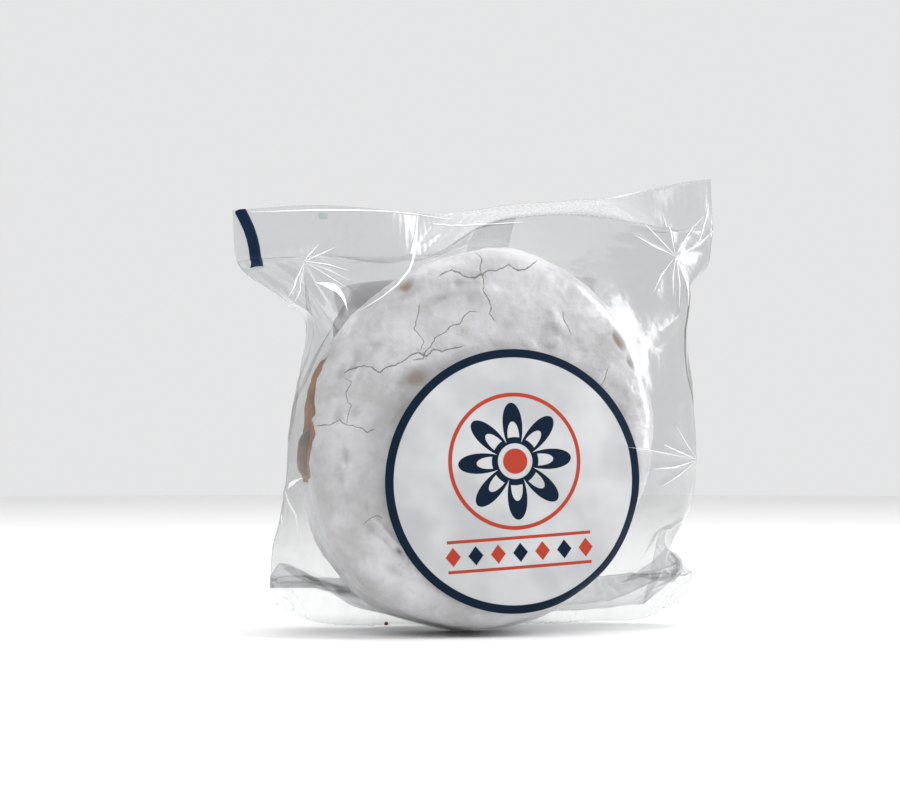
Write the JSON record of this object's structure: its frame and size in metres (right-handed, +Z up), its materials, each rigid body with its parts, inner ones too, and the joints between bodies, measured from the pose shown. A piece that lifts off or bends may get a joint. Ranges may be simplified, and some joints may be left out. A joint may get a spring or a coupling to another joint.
{
  "type": "alfajor cookie in a sealed clear bag",
  "caption": "Round white-glazed alfajor cookie standing on edge in a sealed clear film bag with a printed disc and a paper label on its back.",
  "frame": {"origin": "bottom centre of the bounding box, on the surface the bag stands on", "axes": "+X to the right along the top seal, front of the pack faces -Y, +Z up"},
  "size_m": [0.0886, 0.0425, 0.0834],
  "materials": {
    "film": "clear crinkled polypropylene film, glossy, slightly grey where layers lie over each other",
    "print": "ink printed on the film: white disc with a navy ring and small navy and red shapes",
    "paper": "plain white self-adhesive paper",
    "glaze": "dried white sugar glaze, semi-gloss, lumpy, with hairline cracks and thin grey-brown places",
    "biscuit": "baked cornstarch biscuit, matt, fine crumb",
    "filling": "milk caramel, glossy and sticky"
  },
  "bodies": {
    "root": {"bag": "film", "back_label": "paper"}
  },
  "joints": []
}
